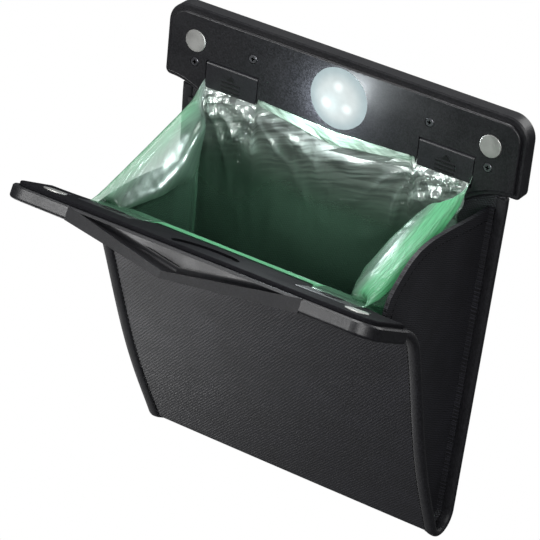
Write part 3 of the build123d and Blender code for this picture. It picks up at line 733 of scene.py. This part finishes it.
# side view of one gusset, rows from its top edge down to the fold
def gussetGrid(side, values):
    rows, columns = values["rows"], values["columns"]
    top = smoothLine(values["topTucked" if side < 0 else "topFlat"], columns)
    nearest = int(np.argmin(np.linalg.norm(frontInner - top[-1], axis=1)))
    top = top + np.outer(np.linspace(0, 1, columns) ** values["topPull"], frontInner[nearest] - top[-1])
    front = evenly(frontInner[nearest:], 1.0)
    pick = np.linspace(0, len(front) - 1, rows)
    front = np.stack([np.interp(pick, np.arange(len(front)), front[:, k]) for k in (0, 1)], 1)
    back = np.stack([np.full(rows, values["backY"]), np.linspace(values["backZ"], pouch["foldZ"], rows)], 1)
    # the foot follows the round fold
    middle = np.array([pouch["foldY"], pouch["foldZ"]])
    turn = np.radians(np.linspace(0, 180 - pouch["panelLean"], columns))
    reach = np.linspace(np.linalg.norm(back[-1] - middle), np.linalg.norm(front[-1] - middle), columns)
    base = middle + np.stack([reach * np.cos(turn), -reach * np.sin(turn)], 1)
    u, v = np.linspace(0, 1, columns)[None, :, None], np.linspace(0, 1, rows)[:, None, None]
    ruled = (1 - u) * back[:, None] + u * front[:, None] + (1 - v) * top[None] + v * base[None]
    upper, lower = (1 - u) * back[0] + u * front[0], (1 - u) * back[-1] + u * front[-1]
    return ruled - (1 - v) * upper - v * lower


# how far a gusset bends in, at a share u of its depth and v of its height
def gussetInward(side, u, v, values):
    if side > 0:
        return values["dish"] * math.sin(math.pi * u) * math.sin(math.pi * min(1, values["dishFrom"] + v))
    rise = u / values["crease"] if u < values["crease"] else (1 - u) / (1 - values["crease"])
    fold = 1 - math.sqrt((1 - rise) ** 2 + values["creaseRound"])
    return values["tuck"] * (1 - v) * fold * values["creaseGain"]


# rows from first to last of one gusset, with the line along its last row
def sideGusset(name, side, values, thickness, first, last):
    grid = gussetGrid(side, values)
    rows, columns = grid.shape[:2]
    points, flat = [], []
    for i in range(first, last + 1):
        row = []
        for j in range(columns):
            y, z = grid[i, j]
            inward = gussetInward(side, j / (columns - 1), i / (rows - 1), values)
            row.append((halfWidth(z) - values["inset"] - max(inward, 0), y, z))
        (backX, backY, backZ), (frontX, frontY, frontZ) = row[0], row[-1]
        row.insert(0, (backX + values["flange"], backY + values["flangeBack"], backZ))
        row.append((frontX + values["flange"], frontY, frontZ))
        for x, y, z in row:
            points.append((side * x, y, z))
            flat.append((y * mm, z * mm))
    faces = gridFaces(last - first + 1, columns + 2)
    obj = newMesh(name, np.array(points) * mm, faces if side < 0 else flipped(faces), leather)
    setUv(obj, flat)
    line = np.array(points).reshape(-1, columns + 2, 3)[-1, 1:-1]
    return thicken(obj, thickness), line + np.array([side * thickness * 0.5, 0, 0])


# a gusset is split in bands, because a shut pouch leaves much the same room at every height: the deeper
# the band, the smaller the share it keeps; each has its first and last row, its flat size and that share
def gussetBands(side, values):
    grid = gussetGrid(side, values)
    deep = grid[:, 0, 0] - grid[:, -1, 0]
    cuts = [0]
    for i in range(1, len(deep) - values["bandRows"]):
        if deep[i] < deep[cuts[-1]] / values["bandRatio"] and i >= cuts[-1] + values["bandRows"]:
            cuts.append(i)
    cuts.append(len(deep) - 1)
    bands = []
    for number, (first, last) in enumerate(zip(cuts, cuts[1:])):
        tall = np.linalg.norm(grid[last] - grid[first], axis=1).mean()
        wide, low = deep[first] + 2 * values["flange"], deep[last] + 2 * values["flange"]
        flat = {"flat": (wide * mm, tall * mm), "area": (wide + low) / 2 * tall * mm * mm}
        room = values["shutRooms"][min(number, len(values["shutRooms"]) - 1)]
        bands.append((first, last, flat, min(1.0, room / deep[first])))
    return bands


def gussetMotion(piece):
    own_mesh(piece)
    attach(piece, "header")


hemRows, hemThickness = gussetValues["hemRows"], gussetValues["hemThickness"]
for label, side in (("Left", -1), ("Right", 1)):
    bands = gussetBands(side, gussetValues)
    hem, hemLine = sideGusset("gussetHem" + label, side, gussetValues, hemThickness, 0, hemRows)
    gussetMotion(hem)
    sewn = stitchRun("gussetStitch" + label, hemLine * mm, stitchValues)
    gussetMotion(sewn)
    for number, (first, last, flat, keep) in enumerate(bands, 1):
        name = "gusset" + label + str(number)
        wall = sideGusset(name, side, gussetValues, gussetValues["thickness"], first, last)[0]
        gussetMotion(wall)
        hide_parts("gusset_" + label.lower())
    print("gusset", label, [(band[0], round(band[3], 2)) for band in bands])
print("gussets made")

# liner film, millimetres: it comes out under the four clips, hems over between them and sinks into the pouch
linerValues = {
    "clipOuter": 78.3, "clipInner": 47.6, "free": 46.8, "side": 10.5, "step": 1.25, "rowStep": 1.5,
    "smooth": 6,
    # per stretch of the rim: green gather, its width, white veil with its painted lamp glare, how far folds
    # show, smoky layers
    "rearClip": (0.10, 1, 1.0, 1.0, 0.7), "rearHem": (0.35, 2, 1.0, 0.8, 0.7),
    "rightRim": (1.0, 9, 0.25, 0.2, 0.3), "leftRim": (0.5, 3, 0.3, 0.25, 1.0),
    "frontClip": (0.3, 2, 0, 0.15, 0), "frontHem": (0.85, 4, 0, 0.15, 0),
    # where the film leaves the outer and inner ends of the clips, on the header and on the shut bar
    "rearMouth": ((-11.4, -20.6), (-11.4, -21.0)), "frontMouth": ((11.8, -20.6), (11.8, -21.0)),
    # five rows from the rim down: clip's outer end, its inner end, free edge, middle
    "rearRows": (
        ((-8.3, -12), (-8.3, -12), (-11.8, -18.5), (-12.9, -25)),
        ((-8.4, -17), (-8.4, -17), (-11.6, -15.6), (-12.2, -17.6)),
        ((-11.2, -21.4), (-11.2, -21.6), (-11.8, -22), (-12.1, -26)),
        ((-12.2, -31), (-12.4, -32), (-12.0, -32), (-12.4, -34)),
        ((-11.6, -42), (-11.0, -44), (-10.4, -43), (-10.6, -44)),
    ),
    "frontRows": (
        ((14.9, -12), (14.9, -12), (11.5, -29), (11.5, -31)),
        ((14.9, -17), (14.9, -17), (11.6, -34), (11.6, -36)),
        ((12.0, -21.4), (12.0, -21.6), (11.5, -37), (11.5, -38)),
        ((11.5, -31), (11.5, -31), (11.4, -39), (11.4, -39.5)),
        ((11.2, -39.5), (11.2, -39.5), (11.6, -42), (11.6, -42)),
    ),
    # the same rows at the sides, out and down: the right rim slopes in as a ribbon, the left is steeper
    "rightRows": ((2.5, -5), (0, 0), (-8, -2.6), (-16, -6.5), (-22, -14)),
    "leftRows": ((3.6, -7.5), (0, 0), (-6, -4.5), (-11, -10), (-16, -17)),
    "spans": (0.12, 0.38, 0.62, 0.88), "sag": 3.0, "taut": 0.5,
    # rows inside the pouch: height, and how far the right side is drawn in
    "lowRows": ((-62, 16), (-95, 11), (-135, 5), (-170, 2), (-199.0, 0)), "across": (1, 0.61, 0.55, 0),
    "back": -7.4, "frontGap": 1.6, "mouthZ": -70, "mouthGap": 6, "sunkZ": -170, "sunkBack": -9.0,
    "sunkFront": 4, "crease": 0.45, "creaseGap": 3.0, "tuckZ": (-205, -45),
    "floorRows": (0.3, 0.65, 1.0), "floorWide": 0.9, "floorDrop": 2,
}
# folds: a pair is where an effect starts and over how long it grows, a fade is a start value and a length
foldValues = {
    "seed": 4.0, "middleY": -45, "rimRow": 8, "wobble": 0.03, "inward": 0.45,
    "pleat": 1.6, "pleatTurn": 0.11, "pleatSway": 0.8, "pleatFall": 0.008, "pleatCrest": 0.55,
    "pleatSharp": 2.2, "pleatGrow": (9, 18), "pleatEnd": 110,
    "crumple": 1.0, "crumpleTurn": 0.04, "crumpleGrow": (14, 40),
    "drape": 4.2, "drapeReach": 85, "drapeTurn": 6, "drapeSway": 2, "drapeCrest": 0.8, "drapeGrow": (8, 12),
    "drapeNear": 25, "drapeFade": 1.5,
    "rimFade": (1, 7), "veilFade": (1.15, 42), "smokeFade": (1.4, 60), "clipFade": (1.3, 24), "clipY": -18,
    "crinkleFade": (1.2, 60), "crinkleGrow": 4, "crinkleVeil": 0.2,
}


# open place of a point of the bar, given its depth and height when shut
def barPlace(depth, z):
    y, z = -depth - pouch["shutBendY"], z - pouch["shutBendZ"]
    turn = math.radians(pouch["barLean"])
    return (pouch["bendY"] + y * math.cos(turn) - z * math.sin(turn),
            pouch["bendZ"] + y * math.sin(turn) + z * math.cos(turn))


def frontRoom(z):
    order = np.argsort(frontInner[:, 1])
    return np.interp(z, frontInner[order, 1], frontInner[order, 0])


# one stretch mirrored about the middle
def bothWays(across, places):
    half = [(x, *place) for x, place in zip(across, places)]
    return half + [(-x, *place) for x, *place in half[2::-1]]


# one of the loops at the rim
def rimLoop(level, values):
    across = (values["clipOuter"], values["clipInner"], values["free"], 0)
    rear = [(-x, y, z) for x, y, z in bothWays(across, values["rearRows"][level])]
    front = bothWays(across, [barPlace(d, z) for d, z in values["frontRows"][level]])
    (firstY, firstZ), (lastY, lastZ) = values["rearMouth"][0], barPlace(*values["frontMouth"][0])
    right, left = [], []
    for s in values["spans"]:
        y = firstY + (lastY - firstY) * s
        z = firstZ + (lastZ - firstZ) * s - values["sag"] * s * (1 - s)
        taut = math.sin(math.pi * s) ** values["taut"]
        out, down = values["rightRows"][level]
        right.append((values["clipOuter"] + out * taut, y, z + down * taut))
        out, down = values["leftRows"][level]
        left.insert(0, (-values["clipOuter"] - out * taut, y, z + down * taut))
    return rear + right + front + left


# one of the loops inside the pouch
def lowLoop(z, drawn, values):
    wide = halfWidth(z) - values["side"]
    sunk = z < values["sunkZ"]
    across = [k * wide for k in values["across"]]
    rearY = values["sunkBack"] if sunk else values["back"]
    face = frontRoom(min(z, values["mouthZ"])) + values["frontGap"] + (values["sunkFront"] if sunk else 0)
    frontY = face - (values["mouthGap"] if z > values["mouthZ"] else 0)
    rear = [(-x, y, z) for x, y, z in bothWays(across, [(rearY, z)] * 4)]
    front = bothWays(across, [(frontY, z)] * 4)
    tuck = np.interp(z, values["tuckZ"], [0, gussetValues["tuck"]])
    right, left = [], []
    for s in values["spans"]:
        y = values["back"] + (face - values["back"]) * s
        fold = s / values["crease"] if s < values["crease"] else (1 - s) / (1 - values["crease"])
        right.append((wide - drawn * math.sin(math.pi * s), y, z))
        left.insert(0, (-wide + tuck * fold + values["creaseGap"], y, z))
    return rear + right + front + left


# control loops from the rim down; each runs rear left to right, right side, front, left side
def linerLoops(values):
    loops = [rimLoop(level, values) for level in range(len(values["rearRows"]))]
    loops += [lowLoop(z, drawn, values) for z, drawn in values["lowRows"]]
    marks = []
    for name, count in (("rearClip", 2), ("rearHem", 3), ("rearClip", 2), ("rightRim", 4),
                        ("frontClip", 2), ("frontHem", 3), ("frontClip", 2), ("leftRim", 4)):
        marks += [values[name]] * count
    return np.array(loops, float), np.array(marks, float)


# the same column lies on the same control points at every level
def linerGrid(values):
    loops, marks = linerLoops(values)
    gaps = np.linalg.norm(np.roll(loops[2], -1, axis=0) - loops[2], axis=1)
    counts = np.maximum(2, np.round(gaps / values["step"]).astype(int))
    columns, drawn = [], []
    for k, count in enumerate(counts):
        after = (k + 1) % len(counts)
        for t in np.arange(count) / count:
            columns.append(loops[:, k] * (1 - t) + loops[:, after] * t)
            drawn.append(marks[k] * (1 - t) + marks[after] * t)
    columns, drawn = np.array(columns), np.array(drawn)
    # each pass takes half of a column and a quarter of each of its neighbours
    for _ in range(values["smooth"]):
        columns = 0.25 * np.roll(columns, 1, axis=0) + 0.5 * columns + 0.25 * np.roll(columns, -1, axis=0)
    length = np.linalg.norm(np.diff(columns, axis=1), axis=2).mean(0)
    rows = sum(int(max(2, round(v / values["rowStep"]))) for v in length) + 1
    hem = np.linalg.norm(columns[:, 1] - columns[:, 0], axis=1)
    return np.array([smoothLine(column, rows) for column in columns]).transpose(1, 0, 2), drawn, hem


def grow(value, start, length):
    return min(1, max(0, value - start) / length)


def fade(away, start, length):
    return np.clip(start - away / length, 0, 1)


# where the film leaves the clips
def clipCorners(values):
    corners = []
    for end, across in enumerate((values["clipOuter"], values["clipInner"])):
        for side in (-1, 1):
            for place in (values["rearMouth"][end], barPlace(*values["frontMouth"][end])):
                corners.append(Vector((side * across, *place)))
    return corners


# lift of the film at a point p that is d below the rim: pleats hang from it, crumples lie below,
# and folds are drawn towards the clip corners
def filmLift(p, d, along, corners, values):
    seed = values["seed"]
    wobble = noise.noise(p * values["wobble"] + Vector((seed, 0, 0)))
    turn = along * values["pleatTurn"] + wobble * values["pleatSway"]
    stripe = noise.noise(Vector((turn, d * values["pleatFall"], seed)))
    hang = grow(d, *values["pleatGrow"]) * max(0, 1 - d / values["pleatEnd"])
    lift = values["pleat"] * (values["pleatCrest"] - abs(stripe) * values["pleatSharp"]) * hang
    crumple = noise.noise(p * values["crumpleTurn"] + Vector((0, seed, 0)))
    lift += values["crumple"] * crumple * grow(d, *values["crumpleGrow"])
    for corner in corners:
        away = p - corner
        far = away.length
        if far < values["drapeReach"]:
            turn = math.atan2(away.z, math.hypot(away.x, away.y))
            wave = abs(math.sin(turn * values["drapeTurn"] + wobble * values["drapeSway"] + corner.x))
            reach = grow(d, *values["drapeGrow"]) * min(1, far / values["drapeNear"])
            reach *= (1 - far / values["drapeReach"]) ** values["drapeFade"]
            lift += values["drape"] * (values["drapeCrest"] - wave) * reach
    return lift


def linerFolds(grid, shown, corners, values):
    rows, columns = grid.shape[:2]
    normal = np.cross(np.gradient(grid, axis=1), np.gradient(grid, axis=0))
    normal /= np.maximum(np.linalg.norm(normal, axis=2), 1e-9)[:, :, None]
    off = normal[:, :, :1] * grid[:, :, :1] + normal[:, :, 1:2] * (grid[:, :, 1:2] - values["middleY"])
    normal = np.where(off > 0, -normal, normal)
    along = runLength(grid[values["rimRow"]])
    steps = np.linalg.norm(np.diff(grid, axis=0), axis=2)
    fall = np.concatenate([np.zeros((1, columns)), np.cumsum(steps, axis=0)])
    lift = np.zeros((rows, columns))
    for i in range(rows):
        for j in range(columns):
            lift[i, j] = filmLift(Vector(grid[i, j]), fall[i, j], along[j], corners, values)
    lift = np.where(lift < 0, lift * values["inward"], lift) * shown[None]
    return grid + normal * lift[:, :, None], fall


def linerBag(values, folds):
    grid, drawn, hem = linerGrid(values)
    gather, width, veil, shown, smoke = drawn.T
    grid, fall = linerFolds(grid, shown, clipCorners(values), folds)
    # the floor closes on its own middle line
    last = grid[-1]
    floorZ = last[:, 2].min() - values["floorDrop"]
    middle = last * (values["floorWide"], 0, 0) + (0, last[:, 1].mean(), floorZ)
    floor = [last * (1 - t) + middle * t for t in values["floorRows"]]
    whole = np.concatenate([grid, floor])
    rows, columns = whole.shape[:2]
    obj = newMesh("linerFilm", whole.reshape(-1, 3) * mm, gridFaces(rows, columns, closed=True), film)
    below = fall - hem[None]
    clipMiddle = (values["clipOuter"] + values["clipInner"]) / 2
    underClip = fade(np.abs(np.abs(grid[:, :, 0]) - clipMiddle), *folds["clipFade"])
    underClip = underClip * (grid[:, :, 1] > folds["clipY"])
    foil = np.maximum(underClip, folds["crinkleVeil"] * veil[None]) * fade(below, *folds["crinkleFade"])
    shares = {
        "rim": fade(below - width[None], *folds["rimFade"]) * gather[None],
        "veil": fade(below, *folds["veilFade"]) * veil[None],
        "smoke": fade(below, *folds["smokeFade"]) * smoke[None],
        "crinkle": foil * np.clip(below / folds["crinkleGrow"], 0, 1),
    }
    for name, share in shares.items():
        setValue(obj, name, np.concatenate([share.ravel(), np.zeros(len(floor) * columns)]))
    across, down = np.arange(columns) * values["step"] * mm, np.arange(rows) * values["rowStep"] * mm
    setUv(obj, np.stack([np.tile(across, rows), np.repeat(down, columns)], 1))
    return obj


liner = linerBag(linerValues, foldValues)
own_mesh(liner)
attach(liner, "header")
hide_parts("liner_bag")
print("liner hung:", len(liner.data.polygons), "faces")
